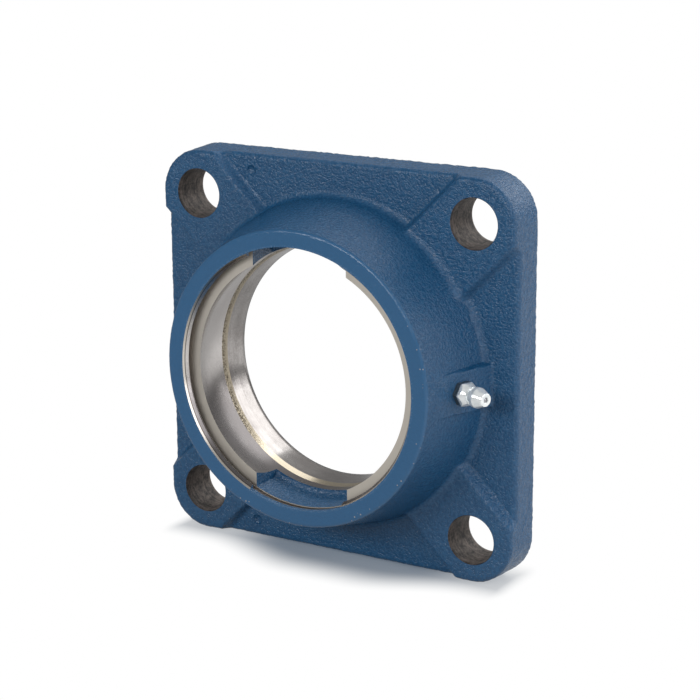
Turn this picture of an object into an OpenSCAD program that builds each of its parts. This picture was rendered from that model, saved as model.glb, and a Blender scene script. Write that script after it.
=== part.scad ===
// Four-bolt square-flanged housing for an insert bearing with a spherical outside.
// The mounting face lies in the plane y = 0, the bore axis is the y axis and the hub
// points to -y. The origin is the centre of the bolt pattern on the mounting face.

/* [Flange] */
// Width of the square flange at its mounting face
flange_w = 131; // [126:0.5:140]
// Distance between bolt hole centres, across and up
bolt_pitch = 101.5; // [98:0.5:104]
// Diameter of each bolt hole
bolt_hole_d = 16; // [12:0.5:18]
// Thickness of the flange in the four pockets between its pads
pocket_t = 11; // [9:0.5:12.5]
// Thickness of the flange on its four bolt pads
pad_t = 14; // [13.5:0.5:16]
// Width of the flat top of each pad strip
pad_w = 26; // [22:0.5:28]
// Lean of each pad strip's side walls from upright, in degrees
pad_lean = 38; // [20:1:45]
// Fillet radius at the foot of each pad strip
pad_fillet = 1.5; // [0.5:0.25:2]
// Rounding along the top edges of each pad strip
strip_round = 1.2; // [0.5:0.1:2]
// Draft of the flange's edge, in degrees
edge_draft = 3; // [1:0.5:5]
// Rounding of the flange's front edges
edge_round = 1.5; // [0.5:0.25:2]

/* [Hub] */
// Height of the hub's ring face above the mounting face
hub_h = 37.3; // [36.5:0.1:42]
// Diameter of the ring face, before its edge is rounded
ring_d = 95.4; // [92:0.2:98]
// Diameter of the hub's flank where it meets the pocket floor
hub_foot_d = 108; // [104:0.5:112]
// Fillet radius at the foot of the hub
hub_fillet = 2.5; // [2:0.5:5]
// Rounding of the ring face's outer edge
ring_round = 1.2; // [0.5:0.1:2]

/* [Bore] */
// Diameter of the spherical bearing seat
seat_d = 80; // [78:0.1:81]
// Height of the seat's centre above the mounting face
seat_z = 21; // [20:0.1:22]
// Diameter of the cylindrical land behind the seat
rear_land_d = 78; // [77:0.1:78.6]
// Height of the rear land's back edge above the mounting face
rear_land_z = 6.3; // [5:0.1:8]
// Diameter of the cast relief at the mounting face
relief_d = 88; // [86:0.5:90]
// Diameter of the snap groove for an end cover; its back wall runs in to the seat's front edge
groove_d = 85.6; // [85:0.1:87]
// Width of the snap groove
groove_w = 2.2; // [1.4:0.1:2.6]
// Depth of the snap groove's front edge below the ring face
groove_depth = 1.8; // [1.4:0.1:2.6]
// Diameter of the mouth at the snap groove
mouth_d = 82.2; // [82:0.1:82.8]
// Diameter of the mouth's bevel at the ring face
bevel_d = 84.4; // [83.5:0.1:84.5]

/* [Loading slots] */
// Width of each of the two slots that the bearing is turned in through
slot_w = 34; // [28:0.5:38]
// Distance between the floors of the two slots
slot_floor_d = 84.6; // [84.6:0.1:84.9]
// Height of the slots' inner end above the mounting face
slot_end_z = 21.5; // [19:0.5:24]
// Fillet radius at the slots' inner end
slot_fillet = 2; // [0.5:0.5:3]

/* [Casting marks] */
// Diameter of each of the two locating dimples
dimple_d = 3.4; // [2:0.2:5]
// Depth of each dimple
dimple_depth = 0.9; // [0.5:0.1:1.5]
// Distance of the dimples from the upright centre plane
dimple_x = 31.8; // [28:0.2:34]
// Distance of the dimples from the flange's edge
dimple_edge = 6; // [4:0.5:7]

/* [Grease nipple boss] */
// Distance of the nipple's seat from the bore axis
nipple_x = 51.9; // [50.5:0.1:54]
// Height of the nipple's seat above the mounting face
nipple_z = 22.8; // [20:0.1:26]
// Tilt of the nipple towards the front, in degrees
nipple_tilt = 20; // [10:1:30]
// Width of the boss across its face
boss_w = 13.6; // [12:0.2:18]
// Draft of the boss's sides, in degrees
boss_draft = 12; // [3:1:20]
// Rounding along the boss's edges
boss_round = 1; // [0.4:0.1:2]
// Diameter of the drilled grease duct
duct_d = 3.5; // [2:0.1:4]

/* [Grease nipple] */
// Diameter of the nipple's threaded shank
shank_d = 6; // [5:0.1:8]
// Length of the shank
shank_l = 5.5; // [4.5:0.1:6.5]
// Gap between the shank and its hole, all round
thread_gap = 0.02; // [0.01:0.01:0.1]
// Width of the hexagon across its flats
hex_w = 7; // [6.6:0.1:8]
// Height of the hexagon
hex_h = 3.2; // [2.5:0.1:4]
// Diameter of the neck behind the coupling head
neck_d = 4.6; // [4:0.1:5]
// Diameter of the coupling head
head_d = 6.5; // [6:0.1:6.8]
// Height of the nipple's tip above its seat
tip_h = 10.8; // [10:0.1:12]
// Diameter of the flat tip
tip_d = 3.8; // [3.2:0.1:4.2]
// Diameter of the check ball
ball_d = 2; // [1.6:0.1:2.2]
// Gap between the ball or the spring and the channel, all round
ball_gap = 0.12; // [0.08:0.01:0.2]
// Diameter of the mouth that the ball closes
mouth_hole_d = 1.6; // [1.2:0.05:1.6]
// Wire diameter of the check spring
wire_d = 0.3; // [0.2:0.02:0.4]
// Number of turns in the check spring
spring_turns = 10; // [6:1:12]

/* [Hidden] */
$fn = 96;

past = 1;            // how far a cut runs past the face that it opens
touch = 0.01;        // gap between parts that rest on each other
sink = 0.05;         // how far a fillet's foot lies below its floor, so that it meets it in a clean line
ring_r = ring_d / 2;
hub_lean = atan((hub_foot_d - ring_d) / 2 / (hub_h - pocket_t));
corner_r = (flange_w - bolt_pitch) / 2;
seat_r = seat_d / 2;
seat_back = seat_z - sqrt(pow(seat_r, 2) - pow(rear_land_d / 2, 2));
groove_front = hub_h - groove_depth;
groove_back = groove_front - groove_w;
strip_l = sqrt(2) * (bolt_pitch + 4 * corner_r);
boss_depth = 9;      // how far the boss reaches below its own face
boss_front = 11;     // how far the boss reaches from the nipple towards the ring
nipple_hole_l = shank_l + 1.5;
duct_l = nipple_x / 2; // from the nipple's seat to well inside the bore
ball_r = ball_d / 2;
channel_r = ball_r + ball_gap;
mouth_lip = 0.5;     // thickness of the lip that the ball closes against
ball_seat_z = tip_h - mouth_lip;
ball_z = ball_seat_z - sqrt(pow(ball_r, 2) - pow(mouth_hole_d / 2, 2)) - touch;
lip_h = 0.6;         // thickness of the lip that holds the spring in
coil_r = channel_r - ball_gap - wire_d / 2;
coil_back = lip_h - shank_l + wire_d / 2 + touch;
coil_front = ball_z - sqrt(pow(ball_r + wire_d / 2, 2) - pow(coil_r, 2)) - touch;
arc_steps = 6;       // straight steps in each rounded stretch of a cast section
wire_sides = 6;
turn_steps = 14;

// Turns a shape drawn along +z so that it lies along the bore, hub to the front
module along_bore() rotate([90, 0, 0]) children();

// Places a shape drawn along +z on the nipple's seat, pointing the way the nipple does
module on_nipple_seat() {
    along_bore() translate([nipple_x, 0, nipple_z]) rotate([0, 90 - nipple_tilt, 0]) children();
}

// Points of an arc about a centre, between two angles
function arc(centre, radius, start, end) =
    [for (i = [0:arc_steps]) let (a = start + (end - start) * i / arc_steps) centre + radius * [cos(a), sin(a)]];

// Half section of a cast form that rises from a floor: leaning flank, filleted foot, rounded top
module cast_section(top, height, lean, rounding, floor_z = 0, fillet = 0) {
    round_z = height - rounding;
    round_x = top + rounding * tan(lean) - rounding / cos(lean);
    foot_z = fillet > 0 ? floor_z - sink + fillet : 0;
    foot_x = top + (height - foot_z) * tan(lean) + fillet / cos(lean);
    foot = fillet > 0 ? arc([foot_x, foot_z], fillet, 270, 180 + lean) : [];
    polygon(concat([[0, 0], [foot_x, 0]], foot, arc([round_x, round_z], rounding, lean, 90), [[0, height]]));
}

// Straight bar whose section is a cast section and its mirror image, lying along y
module cast_bar(length, top, height, lean, rounding, floor_z = 0, fillet = 0) {
    rotate([90, 0, 0]) linear_extrude(length, center = true) {
        for (side = [0, 1]) mirror([side, 0]) cast_section(top, height, lean, rounding, floor_z, fillet);
        translate([-past, 0]) square([2 * past, height]);
    }
}

// Places its children at the four bolt centres
module at_bolts() {
    for (x = [-1, 1], y = [-1, 1]) translate([x, y] * bolt_pitch / 2) children();
}

// Square plate with drafted edges, its corners concentric with the bolt holes
module drafted_plate(thickness) {
    inset = thickness * tan(edge_draft);
    for (turn = [0, 90]) rotate(turn)
        cast_bar(bolt_pitch, flange_w / 2 - inset, thickness, edge_draft, edge_round);
    at_bolts() rotate_extrude() cast_section(corner_r - inset, thickness, edge_draft, edge_round);
}

// The two diagonal strips that carry the bolt pads from the hub to the corners
module pad_strips() {
    for (turn = [45, 135]) rotate(turn)
        cast_bar(strip_l, pad_w / 2, pad_t, pad_lean, strip_round, pocket_t, pad_fillet);
}

// Flared hub that rises from the pocket floor
module flared_hub() {
    rotate_extrude($fn = 180) cast_section(ring_r, hub_h, hub_lean, ring_round, pocket_t, hub_fillet);
}

// The hub's fillet where it rises from the pad strips, a little inside the flank so that it blends in
module hub_foot_on_pads() {
    foot_h = pad_t + 2 * hub_fillet;
    flank_r = ring_r + (hub_h - foot_h) * tan(hub_lean) - sink;
    flat_half = pad_w / 2 - strip_round;
    intersection() {
        rotate_extrude($fn = 180) cast_section(flank_r, foot_h, hub_lean, ring_round, pad_t, hub_fillet);
        for (turn = [45, 135]) rotate(turn)
            cast_bar(strip_l, flat_half - (foot_h - pad_t) * tan(pad_lean), foot_h, pad_lean, ring_round);
    }
}

// Cast pad that gives the nipple a flat face square to its axis
module nipple_boss() {
    back = (nipple_z - pocket_t / 2) / cos(nipple_tilt);
    translate([nipple_x, 0, nipple_z]) rotate([0, 90 - nipple_tilt, 0])
        translate([(back - boss_front) / 2, 0, -boss_depth]) rotate(90)
            cast_bar(back + boss_front, boss_w / 2, boss_depth, boss_draft, boss_round);
}

// Everything that is machined on the bore axis: relief, lands, seat, snap groove and bevel
module bore_cut() {
    rotate_extrude($fn = 180) {
        polygon([
            [0, -past], [relief_d / 2, -past], [relief_d / 2, 0],
            [rear_land_d / 2, rear_land_z], [rear_land_d / 2, seat_back + past], [0, seat_back + past]
        ]);
        intersection() {
            translate([0, seat_z]) circle(seat_r);
            translate([0, seat_back - past]) square([seat_r, groove_back - seat_back + 2 * past]);
        }
        polygon([
            [0, groove_back], [groove_d / 2, groove_back], [groove_d / 2, groove_front],
            [mouth_d / 2, groove_front], [bevel_d / 2, hub_h],
            [bevel_d / 2, hub_h + past], [0, hub_h + past]
        ]);
    }
}

// The two slots at top and bottom, with one round floor and filleted inner ends
module loading_slots() {
    floor_r = slot_floor_d / 2;
    intersection() {
        rotate_extrude($fn = 180) difference() {
            translate([0, slot_end_z]) square([floor_r, hub_h + past - slot_end_z]);
            translate([floor_r - slot_fillet, slot_end_z]) difference() {
                square(slot_fillet);
                translate([0, slot_fillet]) circle(slot_fillet);
            }
        }
        translate([-slot_w / 2, -slot_floor_d, slot_end_z]) cube([slot_w, 2 * slot_floor_d, hub_h]);
    }
}

// Two shallow round dimples in the top and bottom pockets
module dimples() {
    ball = (pow(dimple_d / 2, 2) + pow(dimple_depth, 2)) / (2 * dimple_depth);
    for (side = [-1, 1])
        translate([-dimple_x, side * (flange_w / 2 - dimple_edge), pocket_t + ball - dimple_depth])
            sphere(ball);
}

// Tapped hole for the nipple and the drilled duct from it into the bearing seat
module nipple_hole() {
    translate([nipple_x, 0, nipple_z]) rotate([0, 90 - nipple_tilt, 0]) {
        translate([0, 0, -nipple_hole_l]) cylinder(d = shank_d + 2 * thread_gap, h = nipple_hole_l + past);
        translate([0, 0, -duct_l]) cylinder(d = duct_d, h = duct_l);
    }
}

// One-piece casting: drafted flange with four pads, flared hub and nipple boss, then machined
module housing() color([0.19, 0.33, 0.47]) along_bore() difference() {
    union() {
        drafted_plate(pocket_t);
        intersection() {
            drafted_plate(pad_t);
            pad_strips();
        }
        flared_hub();
        hub_foot_on_pads();
        nipple_boss();
    }
    bore_cut();
    loading_slots();
    at_bolts() translate([0, 0, -past]) cylinder(d = bolt_hole_d, h = pad_t + 2 * past);
    dimples();
    nipple_hole();
}

// Nipple body: shank, chamfered hexagon, neck and coupling head round a stepped channel
module grease_nipple_body() color([0.86, 0.87, 0.88]) on_nipple_seat() {
    hex_r = hex_w / sqrt(3);
    head_back = hex_h + 2.2;
    difference() {
        union() {
            rotate_extrude() polygon([
                [0, -shank_l], [shank_d / 2 - 0.6, -shank_l], [shank_d / 2, 0.6 - shank_l],
                [shank_d / 2, 0], [neck_d / 2, 0], [neck_d / 2, head_back],
                [head_d / 2, head_back + 1], [head_d / 2, head_back + 2.4],
                [tip_d / 2 + 0.3, tip_h - 0.5], [tip_d / 2, tip_h], [0, tip_h]
            ]);
            intersection() {
                cylinder(r = hex_r, h = hex_h, $fn = 6);
                rotate_extrude() polygon([
                    [0, 0], [hex_r, 0], [hex_r, hex_h - 0.6], [hex_w / 2 - 0.1, hex_h], [0, hex_h]
                ]);
            }
        }
        translate([0, 0, -shank_l - past]) cylinder(r = coil_r - wire_d / 2, h = lip_h + 2 * past);
        translate([0, 0, lip_h - shank_l]) cylinder(r = channel_r, h = ball_seat_z + shank_l - lip_h);
        translate([0, 0, ball_seat_z - past]) cylinder(d = mouth_hole_d, h = mouth_lip + 2 * past);
    }
}

// Steel ball that closes the nipple's mouth from inside
module grease_nipple_check_ball() color([0.75, 0.76, 0.78]) on_nipple_seat() {
    translate([0, 0, ball_z]) sphere(ball_r);
}

// Round-wire check spring, swept as one tube along its helix, between the lip and the ball
module grease_nipple_spring() color([0.6, 0.61, 0.63]) on_nipple_seat() {
    steps = spring_turns * turn_steps;
    rise = coil_front - coil_back;
    rings = [for (i = [0:steps]) let (turn = 360 * i / turn_steps) [
        for (k = [0:wire_sides - 1]) let (a = 360 * k / wire_sides, out = coil_r + wire_d / 2 * cos(a))
            [out * cos(turn), out * sin(turn), coil_back + rise * i / steps + wire_d / 2 * sin(a)]
    ]];
    sides = [for (i = [0:steps - 1], k = [0:wire_sides - 1]) let (
        a = i * wire_sides + k, b = i * wire_sides + (k + 1) % wire_sides)
        each [[a, a + wire_sides, b + wire_sides], [a, b + wire_sides, b]]];
    ends = [[for (k = [0:wire_sides - 1]) k], [for (k = [wire_sides - 1:-1:0]) steps * wire_sides + k]];
    polyhedron([for (ring = rings) each ring], concat(sides, ends));
}

housing();
grease_nipple_body();
grease_nipple_check_ball();
grease_nipple_spring();
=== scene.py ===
"""Four-bolt flanged bearing housing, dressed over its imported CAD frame.

Each class builds one piece of the housing in metres, in the frame's own axes: x to the side with the grease
nipple, -y out of the bore towards the hub, z up. Sizes are in millimetres. The casting is moulded first, then
cut in the order of a machine shop: loading slots, cast skin, bore, bolt holes, grease hole.
"""
import logging
import math
from dataclasses import dataclass, field
from enum import Enum, IntEnum
from typing import Any, Callable

import bmesh
import bpy
import numpy as np
from bpy.types import Material, Mesh, Node, NodeSocket, NodeTree, Object
from mathutils import Matrix, Vector


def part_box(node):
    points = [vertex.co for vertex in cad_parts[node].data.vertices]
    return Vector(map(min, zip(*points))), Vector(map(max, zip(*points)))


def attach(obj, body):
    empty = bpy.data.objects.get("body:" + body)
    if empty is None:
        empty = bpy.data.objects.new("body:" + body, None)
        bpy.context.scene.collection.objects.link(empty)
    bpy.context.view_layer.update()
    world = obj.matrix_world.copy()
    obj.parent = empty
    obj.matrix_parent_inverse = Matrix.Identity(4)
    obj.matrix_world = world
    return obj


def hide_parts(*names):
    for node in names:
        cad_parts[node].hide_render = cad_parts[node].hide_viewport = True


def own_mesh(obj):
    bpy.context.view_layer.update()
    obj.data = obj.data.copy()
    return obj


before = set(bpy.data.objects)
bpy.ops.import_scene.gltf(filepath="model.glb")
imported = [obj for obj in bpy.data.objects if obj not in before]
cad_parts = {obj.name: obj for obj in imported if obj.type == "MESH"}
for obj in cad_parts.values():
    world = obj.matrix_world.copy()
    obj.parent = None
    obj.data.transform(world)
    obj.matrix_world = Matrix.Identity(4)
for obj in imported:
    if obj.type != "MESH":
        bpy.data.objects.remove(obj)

LOG = logging.getLogger("housing")
MM = 0.001
NIPPLE_X, NIPPLE_Z, NIPPLE_TILT = 51.9, 22.8, 20.0
Triple = tuple[float, float, float]
Profile = list[tuple[float, float]]


# ---------------------------------------------------------------- shader maths


def add_node(tree: NodeTree, kind: str, settings: dict[str, Any] | None = None,
             inputs: dict[Any, Any] | None = None) -> Node:
    """Adds one node to a shader or geometry tree.

    Args:
        tree: the tree.
        kind: the node's type.
        settings: its own settings.
        inputs: values, sockets or wires by socket name or number.

    Returns:
        The node.
    """
    made = tree.nodes.new(kind)
    for name, value in (settings or {}).items():
        setattr(made, name, value)
    for name, value in (inputs or {}).items():
        socket = made.inputs[name]
        source = getattr(value, "socket", value)
        if isinstance(source, NodeSocket):
            tree.links.new(source, socket)
        elif isinstance(value, tuple) and len(value) == 3 and socket.type == "RGBA":
            socket.default_value = (*value, 1.0)
        else:
            socket.default_value = value
    return made


def maths(operation: str, reflected: bool = False) -> Callable[["Wire", Any], "Wire"]:
    """Makes a method of Wire that adds one Math node.

    Args:
        operation: what the node does.
        reflected: whether the wire is the second of the two values.

    Returns:
        The method.
    """
    def method(wire: "Wire", other: Any) -> "Wire":
        """Adds the node, for this wire and the other value."""
        values = (other, wire) if reflected else (wire, other)
        return wire.bench.node("ShaderNodeMath", {"operation": operation}, dict(enumerate(values)))
    return method


class Wire:
    """A shader socket that takes part in ordinary arithmetic."""

    def __init__(self, bench: "Bench", socket: NodeSocket) -> None:
        """Keeps the socket and the bench that its nodes are made on."""
        self.bench = bench
        self.socket = socket

    __add__ = __radd__ = maths("ADD")
    __sub__ = maths("SUBTRACT")
    __rsub__ = maths("SUBTRACT", reflected=True)
    __mul__ = __rmul__ = maths("MULTIPLY")
    __pow__ = maths("POWER")
    __gt__ = maths("GREATER_THAN")
    __lt__ = maths("LESS_THAN")
    least = maths("MINIMUM")
    most = maths("MAXIMUM")

    def __abs__(self) -> "Wire":
        """Size without its sign."""
        return self.bench.node("ShaderNodeMath", {"operation": "ABSOLUTE"}, {0: self})

    def rise(self, start: float, end: float) -> "Wire":
        """Smooth step from 0 at start to 1 at end, which may be the smaller."""
        low, high, first, last = (start, end, 0.0, 1.0) if start < end else (end, start, 1.0, 0.0)
        return self.bench.node("ShaderNodeMapRange", {"interpolation_type": "SMOOTHSTEP"}, {
            "Value": self, "From Min": low, "From Max": high, "To Min": first, "To Max": last})

    def within(self, low: float, high: float) -> "Wire":
        """The value, kept between two numbers."""
        return self.least(high).most(low)


class Bench:
    """Builds one node tree, of a material or of the world."""

    def __init__(self, tree: NodeTree) -> None:
        """Clears the tree."""
        self.tree = tree
        tree.nodes.clear()

    def node(self, kind: str, settings: dict[str, Any] | None = None, inputs: dict[Any, Any] | None = None,
             out: int | str = 0) -> Wire:
        """Adds one node and hands back one of its outputs."""
        return Wire(self, add_node(self.tree, kind, settings, inputs).outputs[out])

    def place(self) -> Wire:
        """Object coordinates, in metres."""
        return self.node("ShaderNodeTexCoord", out="Object")

    def outputs(self, made: Wire, *names: int | str) -> list[Wire]:
        """The named or numbered outputs of the node that a wire comes from."""
        return [Wire(self, made.socket.node.outputs[name]) for name in names]

    def axes(self, vector: Wire) -> list[Wire]:
        """The three numbers of a vector."""
        return self.outputs(self.node("ShaderNodeSeparateXYZ", None, {0: vector}), 0, 1, 2)

    def rays(self) -> list[Wire]:
        """1 for what the camera sees itself, for reflections, and for what is seen through glass."""
        path = self.node("ShaderNodeLightPath")
        return self.outputs(path, "Is Camera Ray", "Is Glossy Ray", "Is Transmission Ray")

    def noise(self, vector: Wire, pitch: float, detail: float, roughness: float,
              stretch: Triple | None = None) -> Wire:
        """Soft noise.

        Args:
            vector: where it is read.
            pitch: size of its patches, in millimetres.
            detail: how many finer layers it has.
            roughness: how strong these are.
            stretch: scale of each axis before it is read.

        Returns:
            Values round a half.
        """
        if stretch:
            vector = self.node("ShaderNodeMapping", None, {"Vector": vector, "Scale": stretch})
        return self.node("ShaderNodeTexNoise", None, {
            "Vector": vector, "Scale": 1 / (pitch * MM), "Detail": detail, "Roughness": roughness})

    def lines(self, along: Wire, pitch: float, detail: float) -> Wire:
        """Noise that varies along one axis only, as turning lines do."""
        return self.node("ShaderNodeTexNoise", {"noise_dimensions": "1D"}, {
            "W": along, "Scale": 1 / (pitch * MM), "Detail": detail, "Roughness": 0.6})

    def specks(self, vector: Wire, pitch: float, size: float, share: float) -> Wire:
        """Small round specks, one at most in each cell.

        Args:
            vector: where they are read.
            pitch: size of a cell, in millimetres.
            size: radius of a speck, as a share of a cell.
            share: share of the cells that have one.

        Returns:
            1 inside a speck.
        """
        near = self.node("ShaderNodeTexVoronoi", None, {"Vector": vector, "Scale": 1 / (pitch * MM)})
        lot = self.axes(self.outputs(near, "Color")[0])[0]
        return near.rise(size, size * 0.6) * (lot < share)

    def blend(self, share: Any, first: Any, second: Any) -> Wire:
        """Mixes two colours."""
        return self.node("ShaderNodeMix", {"data_type": "RGBA"}, {0: share, 6: first, 7: second}, out=2)

    def layers(self, colour: Any, *coats: tuple[Any, Any]) -> Wire:
        """Mixes further colours over a first, each with its own share."""
        for share, coat in coats:
            colour = self.blend(share, colour, coat)
        return colour

    def bump(self, height: Wire, distance: float, normal: Wire | None = None) -> Wire:
        """Bump normal from a height between 0 and 1.

        Args:
            height: the height.
            distance: what a height of 1 is, in millimetres.
            normal: an earlier bump that this one adds to.

        Returns:
            The normal.
        """
        inputs: dict[Any, Any] = {"Height": height, "Distance": distance * MM, "Strength": 1.0}
        if normal:
            inputs["Normal"] = normal
        return self.node("ShaderNodeBump", None, inputs)

    def emission(self, colour: Triple, strength: float = 1.0) -> Wire:
        """A surface that glows by itself."""
        return self.node("ShaderNodeEmission", None, {"Color": colour, "Strength": strength})

    def diffuse(self, colour: Triple) -> Wire:
        """A matt surface."""
        return self.node("ShaderNodeBsdfDiffuse", None, {"Color": colour})

    def either(self, share: Wire, first: Wire, second: Wire) -> Wire:
        """Mixes two surfaces."""
        return self.node("ShaderNodeMixShader", None, {0: share, 1: first, 2: second})

    def surface(self, colour: Wire, roughness: Wire, normal: Wire, metallic: Any = 0.0) -> None:
        """Ends the tree in one Principled surface."""
        self.end(self.node("ShaderNodeBsdfPrincipled", None, {
            "Base Color": colour, "Roughness": roughness, "Normal": normal, "Metallic": metallic}))

    def end(self, shader: Wire, kind: str = "ShaderNodeOutputMaterial") -> None:
        """Ends the tree in its output node."""
        output = self.tree.nodes.new(kind)
        self.tree.links.new(shader.socket, output.inputs["Surface"])


def new_material(name: str) -> tuple[Material, Bench]:
    """A named material and the bench for its nodes."""
    material = bpy.data.materials.new(name)
    material.use_nodes = True
    return material, Bench(material.node_tree)


# ------------------------------------------------------------------- finishes


@dataclass(frozen=True)
class PaintedCasting:
    """Satin blue paint over rough sand-cast iron: orange-peel grain, smoother on the ring face, and painted
    sparkle as light specks on the loading slots' floors.
    """

    deep: Triple = (0.002, 0.050, 0.132)
    faded: Triple = (0.018, 0.096, 0.210)
    ring: Triple = (0.026, 0.106, 0.228)
    worn: Triple = (0.34, 0.33, 0.30)
    ring_height: float = 36.9
    ring_edge: float = 47.0
    grain_depth: float = 0.15
    roughness: float = 0.155
    slot_wall: tuple[float, float] = (43.1, 42.6)
    # painted sparkle on the slot floors
    slot_sparkle: Triple = (0.11, 0.19, 0.30)

    def make(self) -> Material:
        """Builds the material."""
        material, bench = new_material("blue_painted_casting")
        place = bench.place()
        x, y, z = bench.axes(place)
        ring = y.rise(-(self.ring_height - 0.3) * MM, -(self.ring_height + 0.1) * MM)
        grain = bench.noise(place, 0.8, 2.0, 0.55)
        fine = bench.noise(place, 0.40, 1.0, 0.5)
        patches = bench.noise(place, 14.0, 3.0, 0.6)
        peel = grain.rise(0.30, 0.70)
        depth = (peel * 0.75 + fine * 0.45) * (1 - ring * 0.65)
        bump = bench.bump(depth, self.grain_depth)
        colour = bench.blend(peel * 0.55 + patches * 0.35, self.deep, self.faded)
        colour = bench.blend(ring * 0.85, colour, self.ring)
        radius = (x * x + z * z) ** 0.5
        edge = abs(radius - (self.ring_edge - 0.2) * MM).rise(1.3 * MM, 0.1 * MM)
        lower_right = (x - z).rise(0.0, 0.03)
        chips = bench.specks(place, 1.1, 0.26, 0.28) * edge * lower_right * ring
        face_chips = bench.specks(place, 3.4, 0.12, 0.03) * ring
        colour = bench.blend((chips + face_chips * 0.4).least(1.0), colour, self.worn)
        # Painted sparkle: fine light specks lighten the floors of the loading slots.
        slot = radius.rise(*(r * MM for r in self.slot_wall))
        colour = bench.blend(slot * fine.rise(0.52, 0.66) * 0.6, colour, self.slot_sparkle)
        bench.surface(colour, self.roughness + grain * 0.10 - ring * 0.04, bump)
        return material


@dataclass(frozen=True)
class TurnedIron:
    """Bare turned grey iron of the bore: lines round the axis, stains, a pitted band behind the seat, with
    painted shade on the lower seat, in the groove and in a thin line across the bevel, and painted highlights
    on the upper seat, the groove's back wall and the bevel's front.
    """

    pale: Triple = (0.45, 0.43, 0.415)
    stain_and_shade: Triple = (0.20, 0.178, 0.170)
    gold: Triple = (0.56, 0.49, 0.37)
    # painted highlight on the groove's back wall and the bevel's front
    painted_highlight_cream: Triple = (0.62, 0.58, 0.52)
    # painted shade of the lower seat
    lower_seat_shade_colour: Triple = (0.15, 0.145, 0.148)
    # painted highlight of the upper seat
    bright: Triple = (0.68, 0.65, 0.63)
    pitted: Triple = (0.06, 0.045, 0.03)
    # painted shade in the groove
    grease: Triple = (0.10, 0.08, 0.065)
    # painted shade line across the bevel
    bevel_shade_line_colour: Triple = (0.07, 0.055, 0.045)
    ledge: tuple[float, float] = (15.9, 18.2)
    wall_height: float = 33.3
    groove_dark: float = 34.5
    bevel_shade_line_at: float = 36.55

    def make(self) -> Material:
        """Builds the material."""
        material, bench = new_material("turned_grey_iron")
        place = bench.place()
        _, y, z = bench.axes(place)
        feed = bench.lines(y, 0.5, 3.0)
        bands = bench.lines(y, 3.2, 2.0)
        stain = bench.noise(place, 9.0, 4.0, 0.62)
        grit = bench.noise(place, 0.4, 2.0, 0.6)
        smear = bench.noise(place, 2.4, 2.0, 0.5, (1.0, 3.5, 1.0))
        low, high = self.ledge
        seat = y < -high * MM
        # Painted shade: the seat darkens towards its bottom, dimming its reflection there.
        lower_seat_shade = seat * z.rise(0.004, -0.022)
        speckle = (grit - 0.5) * z.rise(-0.024, 0.0) * 1.2
        # This mixes real stains and turning bands with the painted shade of the lower seat.
        shade = stain * 1.3 + bands * 0.55 + smear * 0.35 + speckle - 0.72 + lower_seat_shade * 0.75 - seat * 0.12
        shade = shade.within(0.0, 1.2)
        # Painted highlight: the upper part of the seat is lightened, as its reflection would be.
        upper_seat_highlight = seat * z.rise(-0.014, 0.002)
        band = (y < -low * MM) - seat
        rusty = band * z.rise(-0.034, -0.022)
        middle = y.rise(-low * MM, -(high - 0.5) * MM)
        pits = grit.rise(0.56, 0.44) * rusty * (middle * 0.75 + 0.15)
        # Painted highlight: the groove's back wall and the front of the bevel are lightened to cream; the
        # wall is also rougher.
        wall = abs(y + self.wall_height * MM) < 0.04 * MM
        # Painted shade: the rear part of the groove's floor is darkened brown, as shade in the recess would
        # be.
        groove = (y < -(self.wall_height + 0.05) * MM) * (y > -self.groove_dark * MM)
        lip = y < -(self.bevel_shade_line_at + 0.1) * MM
        # Painted shade: a thin dark line across the bevel, behind its lightened front.
        bevel_shade_line = abs(y + self.bevel_shade_line_at * MM).rise(0.20 * MM, 0.08 * MM)
        colour = bench.layers(
            self.pale, (shade, self.stain_and_shade), (lower_seat_shade * 0.60, self.lower_seat_shade_colour), (upper_seat_highlight * 0.6, self.bright),
            (band * 0.9, self.gold), (pits, self.pitted), (groove * 0.7, self.grease),
            ((wall + lip).least(1.0), self.painted_highlight_cream), (bevel_shade_line * 0.8, self.bevel_shade_line_colour))
        rough = (0.13 + shade * 0.12 + grit * 0.06 + rusty * 0.24 + wall * 0.30).least(0.8)
        bump = bench.bump(feed * 0.7 + grit * 0.2, 0.012)
        bump = bench.bump(1 - pits, 0.10, bump)
        bench.surface(colour, rough, bump, 1.0)
        return material


@dataclass(frozen=True)
class DrilledIron:
    """Dark drilled wall of the bolt holes and the grease hole, with faint rings."""

    brown: Triple = (0.125, 0.100, 0.086)
    dark: Triple = (0.010, 0.008, 0.007)

    def make(self) -> Material:
        """Builds the material."""
        material, bench = new_material("drilled_grey_iron")
        place = bench.place()
        y = bench.axes(place)[1]
        rings = bench.lines(y, 1.1, 4.0)
        grit = bench.noise(place, 0.7, 3.0, 0.65)
        cloud = bench.noise(place, 2.6, 3.0, 0.65)
        shade = (rings * 1.6 + grit * 1.6 + cloud * 2.6 - 2.35).within(0.0, 1.0)
        colour = bench.blend(shade, self.brown, self.dark)
        bump = bench.bump(rings * 0.5 + grit * 0.5, 0.06)
        bench.surface(colour, 0.50 + grit * 0.2, bump, 0.30)
        return material


@dataclass(frozen=True)
class MilledIron:
    """Milled back face: bare grey iron with broad cutter sweeps."""

    pale: Triple = (0.34, 0.325, 0.31)
    dull: Triple = (0.20, 0.185, 0.17)
    sweep_centre: tuple[float, float] = (-0.11, 0.02)

    def make(self) -> Material:
        """Builds the material."""
        material, bench = new_material("milled_grey_iron")
        place = bench.place()
        x, _, z = bench.axes(place)
        aside, above = x - self.sweep_centre[0], z - self.sweep_centre[1]
        feed = bench.lines((aside * aside + above * above) ** 0.5, 1.4, 3.0)
        stain = bench.noise(place, 22.0, 4.0, 0.6)
        grit = bench.noise(place, 0.5, 2.0, 0.6)
        shade = (stain * 0.8 + feed * 0.5 - 0.25).within(0.0, 1.0)
        colour = bench.blend(shade, self.pale, self.dull)
        bump = bench.bump(feed * 0.8 + grit * 0.2, 0.02)
        bench.surface(colour, 0.30 + grit * 0.16, bump, 1.0)
        return material


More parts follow.
